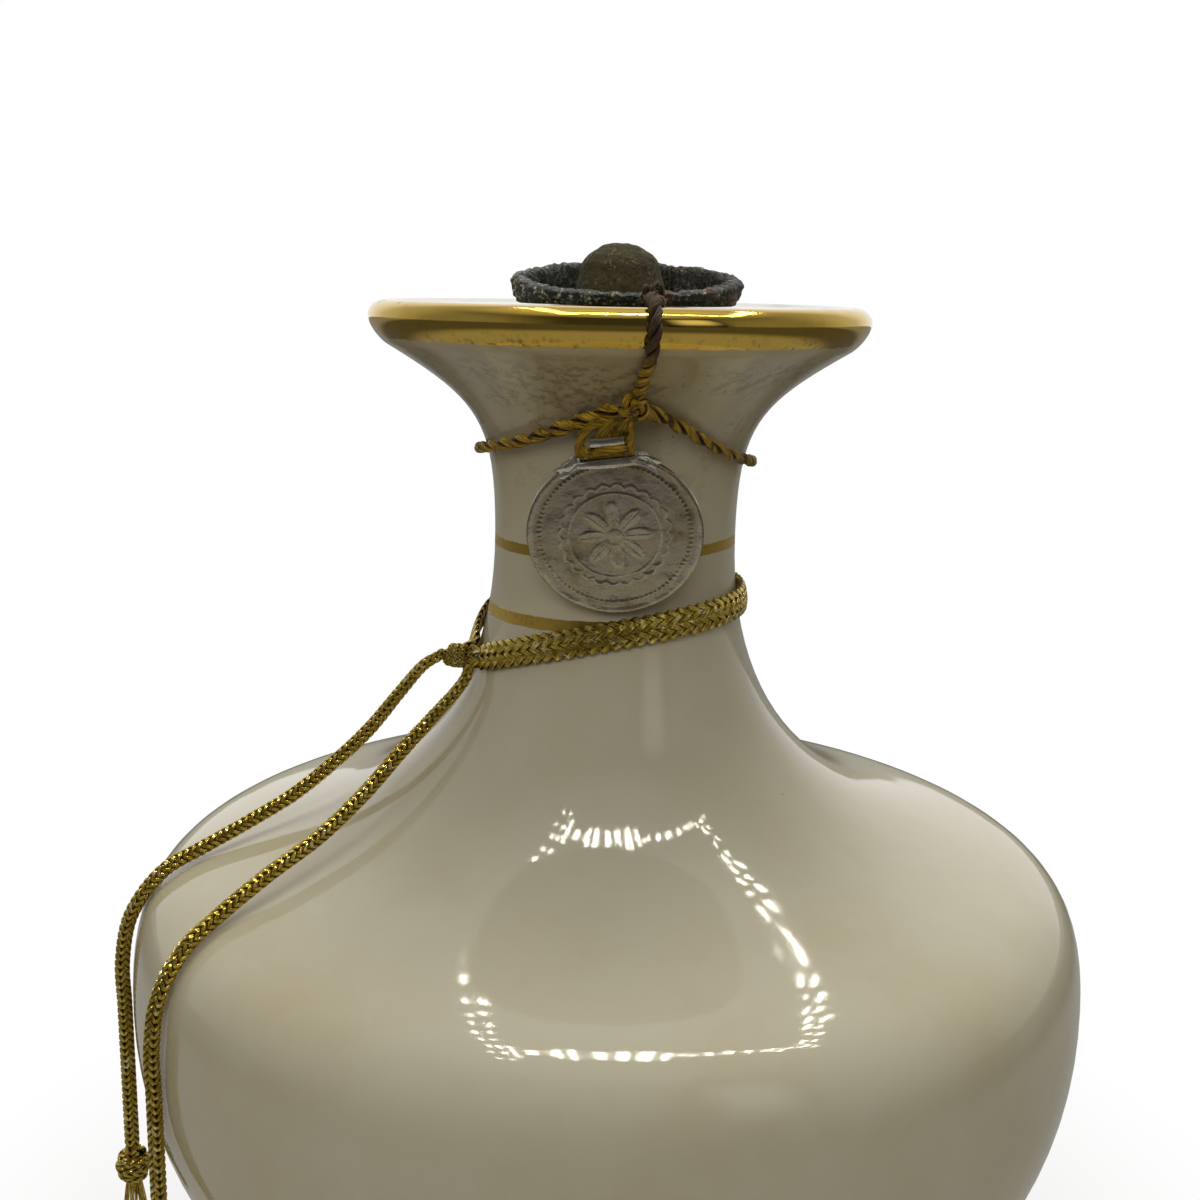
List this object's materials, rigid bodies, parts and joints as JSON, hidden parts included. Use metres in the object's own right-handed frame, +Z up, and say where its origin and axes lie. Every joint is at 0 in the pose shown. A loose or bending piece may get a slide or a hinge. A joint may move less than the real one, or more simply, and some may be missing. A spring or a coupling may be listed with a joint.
{
  "type": "porcelain liqueur bottle",
  "caption": "Squat porcelain liqueur bottle with a narrow neck, wide gilt rim, cork stopper, opened foil capsule, hanging round seal and a knotted metallic braid with loose tails.",
  "frame": {"origin": "middle of the foot's underside, on the bottle's axis", "axes": "+Z up the bottle's axis, the seal faces -Y, the braid's knot and tails are on the -X side"},
  "size_m": [0.1606, 0.159, 0.1815],
  "materials": {
    "porcelain": "glossy ivory glaze, gilt lip and two gilt neck lines",
    "cork": "matte cork",
    "knob_wood": "matte dark brown",
    "tarnished_foil": "tarnished dark foil with worn chips",
    "twine": "waxed amber twine",
    "stamped_aluminium": "dull stamped aluminium",
    "gold_braid": "gold metallic braid"
  },
  "bodies": {
    "bottle": {"bottle_body": "porcelain", "capsule_cup": "tarnished_foil", "twine_top_knot": "twine", "twine_riser": "twine", "twine_front_knot": "twine", "twine_neck_loop": "twine", "cord_neck_wrap": "gold_braid", "cord_knot": "gold_braid", "cord_tail_1": "gold_braid", "cord_tail_2": "gold_braid", "cord_end_knot_1": "gold_braid", "cord_end_knot_2": "gold_braid"},
    "stopper": {"stopper_cork": "cork", "stopper_knob": "knob_wood"},
    "seal": {"twine_hanger_left": "twine", "twine_hanger_right": "twine", "twine_hanger_cross": "twine", "seal_bar": "stamped_aluminium", "seal_front": "stamped_aluminium", "seal_back": "stamped_aluminium"}
  },
  "joints": [
    {"name": "stopper_lift", "type": "slide", "parent": "bottle", "child": "stopper", "axis": [0, 0, 1], "range_m": [0, 0.045]},
    {"name": "seal_swing", "type": "hinge", "parent": "bottle", "child": "seal", "pos_m": [0, -0.02924, 0.15468], "axis": [-1, 0, 0], "range_deg": [0, 45]}
  ]
}
